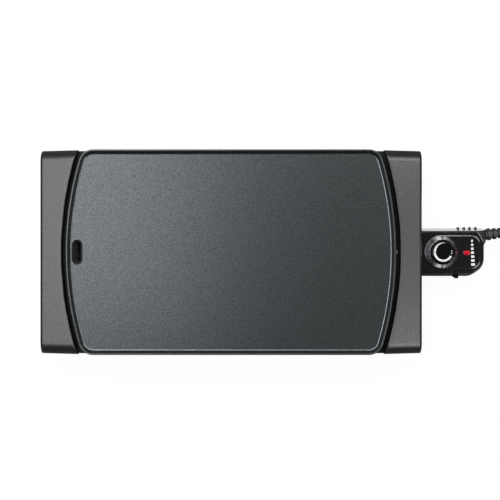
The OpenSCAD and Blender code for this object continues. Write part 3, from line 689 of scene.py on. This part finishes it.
# the drain slot: a black sunk lip, then a well whose outer side slopes in
lip = [(0.3, FLOOR_Z), (0.2, 65.96), (0, 65.6), (-0.2, 64.6), (-0.7, 64.1), (-2.3, 63.9), (-2.6, 63.5),
       (-2.7, 62.8)]
lip_rings = [shape.ring([(px, py, z) for px, py in slot_loop(g)]) for g, z in lip]
shape.skins(lip_rings, m=1)
well = [(-2.7, 62.8, 0), (-2.8, 62.4, 0), (-4.3, 57.6, 1.7), (-4.5, 56.6, 1.8), (-4.5, 54.6, 1.8),
        (-4.1, 54.1, 1.8), (1.5, 54.1, 0), (2.0, 54.6, 0), (2.0, 61, 0)]
well_rings = [shape.ring([(px, py, z) for px, py in slot_loop(g, shift)]) for g, z, shift in well]
shape.skins(well_rings)
shape.fill([rings[-1], lip_rings[0]])
shape.fill([rings[0], well_rings[-1]], flip=True)
# the cast ribs that hold the heating element
path = [(px, py, 0) for px, py in element_route()]
for low, high in ((-7, -4.1), (4.1, 7)):
    section = rounded([(low, 54.5), (high, 54.5), (high, 61.2), (low, 61.2)], [0.8, 0.8, 0, 0], 3, True)
    shape.tube(path, section)
for sx in (-1, 1):
    for sy in (-1, 1):
        boss = rounded([(0, 55), (5.9, 55), (6.2, 59), (8.5, 61.1)], [0, 0.6, 2, 0], 4)
        shape.lathe(boss, upright(sx * BOSS_X, sy * BOSS_Y), 32)
# the lug that carries the probe's guide
hole = arc((0, PROBE_Z), 4, 0, 360, 28)[:-1]
lug_loop = rounded([(-7, 32.5), (7, 32.5), (7, 60.9), (-7, 60.9)], [2.5, 2.5, 0, 0], 4, True)
rings = []
for px, grow in ((183.0, 0.8), (183.3, 0.2), (183.8, 0), (213.2, 0), (213.7, 0.2), (214.0, 0.8)):
    rings.append(shape.ring([(px, py, pz) for py, pz in offset(lug_loop, grow)]))
shape.skins(rings)
bore = [shape.ring([(px, py, pz) for py, pz in hole]) for px in (183.0, 214.0)]
shape.skins(bore[::-1])
shape.fill([rings[0], bore[0]], flip=True, flat_axes=slice(1, 3))
shape.fill([rings[-1], bore[1]], flat_axes=slice(1, 3))
# the coating shines more along the rim's foot: a more reflective copy of the coating there makes a painted
# highlight
for i, f in enumerate(shape.f):
    height = sum(shape.v[k][2] for k in f) / len(f)
    if FLOOR_Z + 0.03 < height < FLOOR_Z + 1.2 and shape.m[i] == 0:
        shape.m[i] = 2
shape.make("cooking_plate", "plate_coating", "griddle", ["griddle_plate"],
           mats=["plate_coating", "drain_lip", "rim_foot_painted_highlight"], sharp=50)


# ---------------------------------------------------------------- handles

BODY_X = 266.0                  # the handles' outer edge
HANDLE_R = END_R + GAP
HANDLE_HALF, ROLL_R, ROLL_FALL = 142, 16, 1.03  # half the length, and the rolled ends' radius and steepness
OUTER_Z, INNER_Z = 57.7, 65.5
SLOPE = (INNER_Z - OUTER_Z) / (BODY_X - END_X - HANDLE_R)
WALL = 3.0
LEDGE_Z, LIP_Z = 53.0, 43.0     # the shell's lower edge, over the leg frame's ledge and outside it
CORNER_TRIM = 1.6
SCREW_X, SCREW_Y = 247, 60      # of the bosses for the shells' screws


def handle(name, node, sign, arch_y, arch_z):
    """A handle shell: sloping top, rolled ends, round outer edge, and an arch in its outer lip."""
    def bottom(x, y):
        return LEDGE_Z if math.hypot(x - END_X, y) < HANDLE_R + 3.3 else LIP_Z

    def lip(y):
        y = abs(y)
        if y >= arch_y:
            return LIP_Z
        if y > arch_y - 2:
            return arch_z - 2 + math.sqrt(max(0.0, 4 - (y - arch_y + 2) ** 2))
        return arch_z

    inner_y = [0, 12, 24, arch_y - 2.0, arch_y - 1.4, arch_y - 0.6, arch_y - 0.02, arch_y, arch_y + 12,
               80, 100, 116]
    grids = []
    shape = Shape()
    for inset in (0.0, WALL):
        roll = ROLL_R - inset
        half = HANDLE_HALF - inset
        ends = [half - roll + roll * math.sin(math.radians(90 * k / 12)) for k in range(13)]
        ys = sorted(y for y in inner_y if y < half - roll - 1) + ends
        ys = [-y for y in reversed(ys[1:])] + ys
        rows = []
        for y in ys:
            away = abs(y) - (half - roll)
            drop = ROLL_FALL * (roll - math.sqrt(max(0.0, roll * roll - away * away))) if away > 0 else 0.0
            cut = abs(y) - (half - CORNER_TRIM)
            trim = CORNER_TRIM - math.sqrt(max(0.0, CORNER_TRIM ** 2 - cut * cut)) if cut > 0 else 0.0
            x_out = BODY_X - inset - trim
            x_in = END_X + math.sqrt((HANDLE_R + inset) ** 2 - y * y) + min(trim, 2.0)

            def top(x):
                return OUTER_Z + SLOPE * (BODY_X - x) - ROLL_FALL * inset - drop

            big, small = max(5.0 - inset, 1.5), max(1.6 - inset * 0.2, 0.8)
            section = [(x_in, LEDGE_Z)]
            section += [(x_in + small - small * math.cos(math.radians(90 * k / 4)),
                         top(x_in + small) - small + small * math.sin(math.radians(90 * k / 4)))
                        for k in range(5)]
            a, b = x_in + small, x_out - big
            section += [(a + (b - a) * k / 7, top(a + (b - a) * k / 7)) for k in range(1, 7)]
            outer_from = len(section)
            section += [(x_out - big + big * math.sin(math.radians(90 * k / 7)),
                         top(x_out - big) - big + big * math.cos(math.radians(90 * k / 7))
                         - 0.24 * big * k / 7) for k in range(8)]
            section.append((x_out, lip(y)))
            base = lip(y)
            out = []
            for k, (x, z) in enumerate(section):
                lowest = base if k >= outer_from else bottom(x, y)
                out.append((sign * x, y, max(z, lowest)))
            rows.append(out)
        for end in (0, -1):
            under = [(p[0], p[1], bottom(abs(p[0]), p[1])) for p in rows[end]]
            rows.insert(0, under) if end == 0 else rows.append(under)
        grids.append([shape.ring(r) for r in rows])
    out, inn = grids
    # the outer and the inner skin, then the edge between them
    for g, flip in ((out, sign > 0), (inn, sign < 0)):
        for a, b in zip(g, g[1:]):
            for i in range(len(a) - 1):
                quad = [a[i], a[i + 1], b[i + 1], b[i]]
                shape.face(quad if flip else quad[::-1])

    def border(g):
        return g[0] + [r[-1] for r in g[1:-1]] + g[-1][::-1] + [r[0] for r in g[-2:0:-1]]

    a, b = border(out), border(inn)
    for i in range(len(a)):
        j = (i + 1) % len(a)
        quad = [a[i], a[j], b[j], b[i]]
        shape.face(quad if sign < 0 else quad[::-1])
    # the bosses for the shell's screws
    for sy in (-1, 1):
        profile = rounded([(1.6, 62), (1.6, 53.05), (4.5, 53.05), (4.5, 57.5)], [0, 0.2, 0.5, 0], 2)
        shape.lathe(profile, upright(sign * SCREW_X, sy * SCREW_Y), 24)
    return shape.make(name, "handle_plastic", "griddle", [node], sharp=60)


handle("handle_left", "left_handle_shell", -1, 62, 50)
handle("handle_right", "right_handle_shell", 1, 36, 52.5)


# ---------------------------------------------------------------- leg frames and feet

def bowed(r, y0, y1, n):
    """Points from y0 to y1 on the bow of radius r that the right end follows."""
    return [(END_X + math.sqrt(r * r - y * y), y) for y in [y0 + (y1 - y0) * k / n for k in range(n + 1)]]


FOOT_X, FOOT_Y = 242, 120.5
LEG_HALF_X, LEG_HALF_Y = 15, 13.5
TAB_HALF = 11.7

for sign, name in ((-1, "left"), (1, "right")):
    shape = Shape()

    def turned(loop):
        """The loop as it is for the right side, or its mirror image for the left."""
        return [(sign * x, y) for x, y in (loop if sign > 0 else loop[::-1])]

    ledge = bowed(END_R - 4, -141, 141, 40) + bowed(HANDLE_R + 2.9, 141, 137.6, 2)
    ledge += [(262.3, 137.6), (262.3, -137.6)] + bowed(HANDLE_R + 2.9, -137.6, -141, 2)
    shape.slab(turned(ledge[::-1]), 50, LEDGE_Z, 0.3)
    for sy in (-1, 1):
        y0, y1 = sorted((sy * (BOSS_Y - TAB_HALF), sy * (BOSS_Y + TAB_HALF)))
        tab = rounded([(192.3, y0), (230, y0), (230, y1), (192.3, y1)], [3, 0, 0, 3], 5, True)
        shape.slab(turned(tab), 50.02, 52.98, 0.5)
        y0, y1 = sorted((sy * (FOOT_Y - LEG_HALF_Y), sy * (FOOT_Y + LEG_HALF_Y)))

        def leg(inset, y0=y0, y1=y1):
            x0, x1 = FOOT_X - LEG_HALF_X + inset, FOOT_X + LEG_HALF_X - inset
            return turned(rect(x0, y0 + inset, x1, y1 - inset, max(5 - inset, 1.2), 5))

        shape.loft(leg, rounded([(8, 5), (1.7, 5), (0.2, 48), (0.2, 50.5)], [0, 1.2, 2, 0], 4), top=False)
    shape.make(name + "_legs", "frame_plastic", "griddle", [name + "_leg_frame"])

shape = Shape()
for sx in (-1, 1):
    for sy in (-1, 1):
        foot = rounded([(0, 0), (5.4, 0), (5.9, 0.5), (7.2, 0), (8, 0.6), (8, 5), (2.9, 5), (2.9, 7)],
                       [0, 0.3, 0.3, 0.3, 0.6, 0.6, 0, 0], 3)
        shape.lathe(foot, upright(sx * FOOT_X, sy * FOOT_Y), 36)
shape.make("feet", "rubber", "griddle", ["rubber_feet"])


# ---------------------------------------------------------------- drip tray

TRAY_X0, TRAY_X1, TRAY_Y = -262, -160, 74
TRAY_Z0, TRAY_Z1, TRAY_WALL = 9.8, 31.8, 1.5
shape = Shape()
tray = rounded([(14, TRAY_Z0), (1.6, TRAY_Z0), (0, TRAY_Z1), (TRAY_WALL, TRAY_Z1),
                (3.0, TRAY_Z0 + TRAY_WALL), (14, TRAY_Z0 + TRAY_WALL)], [0, 4, 0.5, 0.5, 3, 0], 5)
shape.loft(lambda i: rect(TRAY_X0 + i, -TRAY_Y + i, TRAY_X1 - i, TRAY_Y - i, max(9 - i, 1.5), 6), tray)
# the runners at its sides and the pull at its left end
for sy in (-1, 1):
    y0, y1 = sorted((sy * (TRAY_Y - 1.2), sy * (TRAY_Y + 8)))
    shape.slab(rect(-254, y0, TRAY_X1 - 0.2, y1, 1.2, 3), TRAY_Z1 - 1.6, TRAY_Z1, 0.4)
pull = rounded([(-264.5, -34), (-259.5, -34), (-259.5, 34), (-264.5, 34)], [2.4, 0, 0, 2.4], 5, True)
shape.slab(pull, 23.2, 25.2, 0.8)
shape.make("tray", "tray_steel", "drip_tray", ["drip_tray"])


# ---------------------------------------------------------------- control

BASE_Z, SEAM_Z, COVER_Z = 20, 34.0, 48.5        # the housings' bottom, seam and top


def housing_outline(inset, back, front):
    """The control's plan outline, drawn in by inset, with its long sides at back and front."""
    e = inset
    x0, x1, x2 = DIAL_X - 36.5 + e, DIAL_X + 59.5 - e, DIAL_X + 62.5 - e
    right = [(x1, 0), (x1, 9.7), (x2, 15.5), (x2, back - e), (x0, back - e)]
    return ([(x0, -front + e), (DIAL_X - 10, -front + e)]
            + arc((DIAL_X + 39, -front + 20.5), 20.5 - e, 270, 360, 14)
            + rounded(right, [0, 3, 3, 1.2, 0], 4)[1:])


def drafted(inset, z):
    """The outline at a height: both long walls lean out towards the bottom."""
    lean = (COVER_Z - z) / (COVER_Z - BASE_Z)
    return [(x, y, z) for x, y in housing_outline(inset, 29.7 + 4.8 * lean, 29.5 + 5.0 * lean)]


shape = Shape()
rings = [shape.ring(drafted(i, z)) for i, z in
         rounded([(9, BASE_Z), (0, BASE_Z), (0, 33.6), (0.5, 33.6), (0.5, SEAM_Z)], [0, 2.2, 0.3, 0, 0], 4)]
shape.skins(rings)
shape.fill([rings[0]], flip=True)
shape.fill([rings[-1]])
# four upright ribs at the back, and a small tab at the front
for x in (27, 35.4, 43.4, 51.8):
    rib = rect(DIAL_X + x - 1.0, 30.5, DIAL_X + x + 1.0, 35.7, 0.9, 4)
    shape.loft(lambda i, rib=rib: offset(rib, i), rounded([(0.6, 22), (0, 22.5), (0, 32.6), (0.8, 33.4)],
                                                           [0, 0.3, 0.6, 0], 3))
tab = rounded([(DIAL_X + 18, -33), (DIAL_X + 23, -37.2), (DIAL_X + 27.4, -37.2), (DIAL_X + 28, -33)],
              [0, 1, 1, 0], 4, True)
shape.slab(tab, 24, 30, 0.6)
shape.make("control_base", "control_plastic", "control", ["control_bottom_housing"])

shape = Shape()
rings = [shape.ring(drafted(i, z)) for i, z in
         rounded([(0.5, SEAM_Z), (0.0, 34.3), (0.1, COVER_Z), (9, COVER_Z)], [0, 0.3, 1.8, 0], 6)]
shape.skins(rings)
shape.fill([rings[0]], flip=True)
shape.fill([rings[-1]])
# the top falls away towards the cord
fall, turn = math.radians(24), math.radians(32)
shape.slice((DIAL_X + 53.3, 23.4, COVER_Z),
            (math.sin(fall) * math.cos(turn), math.sin(fall) * math.sin(turn), math.cos(fall)), 1.3)


def deck_loop(inset):
    """The raised deck's outline: round the dial on the left, two round corners on the right."""
    e = inset
    return (arc((DIAL_X, 0), 24 - e, 90, 270, 30)
            + arc((DIAL_X + 40.8, -10), 14 - e, 270, 360, 12)
            + arc((DIAL_X + 40.8, 10), 14 - e, 0, 90, 12))


deck = rounded([(-0.3, 48.4), (0.1, 49.1), (2.1, 49.7), (8, 49.7)], [0, 0.2, 1.2, 0], 4)
shape.loft(deck_loop, deck, bottom=False)
shape.make("control_cover", "control_plastic", "control", ["control_top_housing"])

shape = Shape()
LENS_X0, LENS_X1, LENS_Y = DIAL_X + 33.4, DIAL_X + 37.0, -0.9
lens = rounded([(3.2, 46), (3.2, 49.8), (2.4, 50.5), (0.6, 50.7)], [0, 0.4, 1.0, 0], 5)
shape.loft(lambda r: arc((LENS_X1, LENS_Y), r, -90, 90, 14) + arc((LENS_X0, LENS_Y), r, 90, 270, 14), lens)
shape.make("pilot_light", "lens_red", "control", ["pilot_lens"])

shape = Shape()
tip = rounded([(0, 188), (1.9, 188), (3, 190.4), (3, 266.8), (5, 267), (5, 268.5), (0, 268.5)],
              [0, 1.2, 1.4, 0, 0.3, 0.3, 0], 5)
shape.lathe(tip, lambda p: (p[2], p[0], PROBE_Z + p[1]), 40)
shape.make("probe", "contact_steel", "control", ["temperature_probe"])


# ---------------------------------------------------------------- dial

LIP_R = 17.6                    # inside it the dial is black
NOTCH_HALF, NOTCH_DEPTH = 0.75, 1.3


def dial_form(p):
    """Cuts a notch at the front and the back of the skirt."""
    x, y, h = p
    if math.hypot(x, y) > LIP_R and abs(x) < NOTCH_HALF and h > 51.5:
        h -= NOTCH_DEPTH
    return (DIAL_X + x, y, h)


shape = Shape()
skirt = [(3.1, 50.3), (21.9, 50.3), (22.4, 50.9), (17.7, 56.22), (16.9, 56.3), (16.2, 56.3), (16.0, 54.9),
         (3.1, 54.9)]
shape.lathe(rounded(skirt, [0, 0.4, 0.4, 0.25, 0.3, 0.2, 0.1, 0], 4), dial_form, 180)
# the notches and the lip round the cap are black
for i, f in enumerate(shape.f):
    middle = sum((Vector(shape.v[k]) for k in f), Vector()) / len(f)
    notch = abs(middle.x - DIAL_X) < NOTCH_HALF - 0.05 and abs(middle.y) > 17 and middle.z > 50.6
    if notch or math.hypot(middle.x - DIAL_X, middle.y) < LIP_R + 0.05:
        shape.m[i] = 1
dial_skirt = shape.make("dial_skirt", "dial_plastic", "dial", ["dial_knob"],
                        mats=["dial_plastic", "dial_gloss"])
shape = Shape()
CAP_Z = 59.9
cap = [(0, 54.92), (15.6, 54.92), (15.8, 55.4), (15.7, 59.4), (15.1, CAP_Z), (0, CAP_Z)]
shape.lathe(rounded(cap, [0, 0.2, 0.3, 0.5, 0.5, 0], 4), upright(DIAL_X, 0), 96)
shape.make("dial_top", "dial_gloss", "dial", ["dial_cap"])

# the white scale: a wedge that grows as it turns, with two dark dots in it, and two dots in its gap
SCALE_FROM, SCALE_TO, SCALE_STEPS = 78, 333, 50         # degrees, and the points along it
SCALE_R, SCALE_THIN, SCALE_THICK = 13.2, 0.3, 2.8       # its outer radius, and its width at its two ends
DOT_AT = 11.8
PRINT = (CAP_Z, CAP_Z + 0.2, 0.04)                      # its bottom, its top and its edges' radius
shape = Shape()
scale = arc((DIAL_X, 0), SCALE_R, SCALE_FROM, SCALE_TO, SCALE_STEPS)
for k in range(SCALE_STEPS, -1, -1):
    grown = min(1, 3 * k / SCALE_STEPS)
    angle = math.radians(SCALE_FROM + (SCALE_TO - SCALE_FROM) * k / SCALE_STEPS)
    r = SCALE_R - SCALE_THIN - (SCALE_THICK - SCALE_THIN) * grown
    scale.append((DIAL_X + r * math.cos(angle), r * math.sin(angle)))
holes = [arc((DIAL_X - DOT_AT, 0), 0.75, 0, 340, 17), arc((DIAL_X, -DOT_AT), 0.6, 0, 340, 17)]
shape.slab(scale, *PRINT, holes=holes)
for y in (-1.6, 1.6):
    shape.slab(arc((DIAL_X + DOT_AT, y), 0.8, 0, 345, 23), *PRINT)
shape.make("dial_marks", "white_print", "dial", ["dial_scale"])


# ---------------------------------------------------------------- CAD nodes that show as they are

BEVEL_STEPS, BEVEL_ANGLE = 3, 40
KEPT = {                        # each node's finish, and the width of its bevels in millimetres
    "heating_element": ("element_steel", 0), "terminal_pins": ("contact_steel", 0.3),
    "ceramic_bushes": ("ceramic", 0.4), "probe_guide": ("steel", 0.15), "terminal_shroud": ("steel", 0.6),
    "shroud_screws": ("steel", 0.5), "insulating_washers": ("ceramic", 0.3), "plate_screws": ("steel", 0.5),
    "shell_screws": ("steel", 0.5), "tray_rails": ("steel", 0.3), "rail_screws": ("steel", 0.5),
    "plug_in_mark": ("white_print", 0.1), "socket_insulator": ("insulator", 0.6),
    "contact_sockets": ("brass", 0.2), "thermostat_frame": ("steel", 0.3), "bimetal_strip": ("brass", 0.1),
    "contact_blade": ("brass", 0.1), "contact_stack": ("insulator", 0.3), "thermal_fuse": ("ceramic", 0.2),
    "pilot_lamp": ("lamp_glass", 0.5), "lead_wires": ("wire_sheath", 0),
    "cord_clamp": ("control_plastic", 0.3), "housing_screws": ("steel", 0.4),
    "heat_level_mark": ("white_print", 0.08),
    "dial_shaft": ("contact_steel", 0.2), "shaft_clip": ("steel", 0.1), "plug_earth_clips": ("brass", 0.2),
}
for node, (slot, width) in KEPT.items():
    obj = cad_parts[node]
    obj.data.materials.clear()
    obj.data.materials.append(MAT[slot])
    if width:
        bevel = obj.modifiers.new("bevel", "BEVEL")
        bevel.width = width * MM
        bevel.segments = BEVEL_STEPS
        bevel.limit_method = "ANGLE"
        bevel.angle_limit = math.radians(BEVEL_ANGLE)


# ---------------------------------------------------------------- floor and light, in the row's metres

FLOOR_HALF = 4
FLOOR_WHITE, FLOOR_IN_GLOSS = 0.86, 0.12        # its paint, and its paint as glossy surfaces see it
FLOOR_GLOW = 0.96                               # how far the camera sees plain white instead of paint
SKY_LIGHT, SKY_SEEN = 0.03, 0.98

mesh = bpy.data.meshes.new("floor")
corners = [(sx * FLOOR_HALF, sy * FLOOR_HALF, 0) for sx, sy in ((-1, -1), (1, -1), (1, 1), (-1, 1))]
mesh.from_pydata(corners, [], [(0, 1, 2, 3)])
floor = bpy.data.objects.new("floor", mesh)
scene.collection.objects.link(floor)
mat = bpy.data.materials.new("floor")
mat.use_nodes = True
tree = mat.node_tree
tree.nodes.clear()
out = tree.nodes.new("ShaderNodeOutputMaterial")
blend = tree.nodes.new("ShaderNodeMixShader")
paint = tree.nodes.new("ShaderNodeBsdfDiffuse")
dim = tree.nodes.new("ShaderNodeMix")
dim.data_type = "RGBA"
dim.inputs[6].default_value = (FLOOR_WHITE, FLOOR_WHITE, FLOOR_WHITE, 1)
dim.inputs[7].default_value = (FLOOR_IN_GLOSS, FLOOR_IN_GLOSS, FLOOR_IN_GLOSS, 1)
tree.links.new(dim.outputs[2], paint.inputs["Color"])
glow = tree.nodes.new("ShaderNodeEmission")
glow.inputs["Color"].default_value = (1, 1, 1, 1)
seen = tree.nodes.new("ShaderNodeLightPath")
gain = tree.nodes.new("ShaderNodeMath")
gain.operation = "MULTIPLY"
gain.inputs[1].default_value = FLOOR_GLOW
tree.links.new(seen.outputs["Is Camera Ray"], gain.inputs[0])
tree.links.new(seen.outputs["Is Glossy Ray"], dim.inputs[0])
tree.links.new(gain.outputs[0], blend.inputs[0])
tree.links.new(paint.outputs[0], blend.inputs[1])
tree.links.new(glow.outputs[0], blend.inputs[2])
tree.links.new(blend.outputs[0], out.inputs["Surface"])
mesh.materials.append(mat)

world = bpy.data.worlds.new("world")
scene.world = world
world.use_nodes = True
tree = world.node_tree
sky = tree.nodes["Background"]
sky.inputs["Color"].default_value = (1, 1, 1, 1)
shown = tree.nodes.new("ShaderNodeMapRange")
shown.inputs["To Min"].default_value = SKY_LIGHT
shown.inputs["To Max"].default_value = SKY_SEEN
tree.links.new(tree.nodes.new("ShaderNodeLightPath").outputs["Is Camera Ray"], shown.inputs["Value"])
tree.links.new(shown.outputs["Result"], sky.inputs["Strength"])


COOL = (0.96, 0.985, 1.0)
DIAL_AT = (0.249, 0, 0.06)


def soft_light(name, place, aim, size, power, colour=(1, 1, 1)):
    """A rectangular light at a place, turned towards another point."""
    light = bpy.data.lights.new(name, "AREA")
    light.shape = "RECTANGLE"
    light.size, light.size_y = size
    light.energy = power
    light.color = colour
    obj = bpy.data.objects.new(name, light)
    obj.location = place
    obj.rotation_euler = (Vector(aim) - Vector(place)).to_track_quat("-Z", "Y").to_euler()
    scene.collection.objects.link(obj)
    return obj


# each light's place, the point it faces, its size in metres and its watts
soft_light("overhead_left", (-1.55, 0.14, 1.50), (-1.55, 0.14, 0), (1.3, 1.64), 26, COOL)
soft_light("overhead_middle", (-0.55, 0.33, 1.50), (-0.55, 0.33, 0), (0.7, 1.22), 11.3, COOL)
soft_light("back_strip", (-0.30, 1.00, 1.52), (-0.30, 0.40, 0), (2.0, 0.20), 20)
soft_light("right_back", (1.30, 0.76, 1.40), (0.2, 0.2, 0.05), (0.8, 0.8), 14.5)
soft_light("right_front", (1.30, -0.70, 1.40), (0.2, -0.2, 0.05), (0.8, 0.8), 15.5)
# a card on the floor that the control's back wall reflects
card = soft_light("back_card", (0.268, 0.061, 0.001), (0.268, 0.061, 1), (0.110, 0.046), 0.027)
card.visible_camera = False
# cards that only the dial's skirt sees
skirt_only = bpy.data.collections.new("skirt_only")
skirt_only.objects.link(dial_skirt)
for name, x, y, size, power, colour in (("card_back", 0.29, 0.50, (0.50, 0.30), 1.1, (1, 1, 1)),
                                        ("card_front", 0.27, -0.50, (0.42, 0.30), 0.8, (1, 1, 1)),
                                        ("card_left", -0.25, 0.10, (0.50, 0.30), 0.16, (0.85, 0.90, 1))):
    card = soft_light(name, (x, y, 0.13), DIAL_AT, size, power, colour)
    card.visible_camera = False
    card.light_linking.receiver_collection = skirt_only
scene.view_settings.view_transform = "Standard"
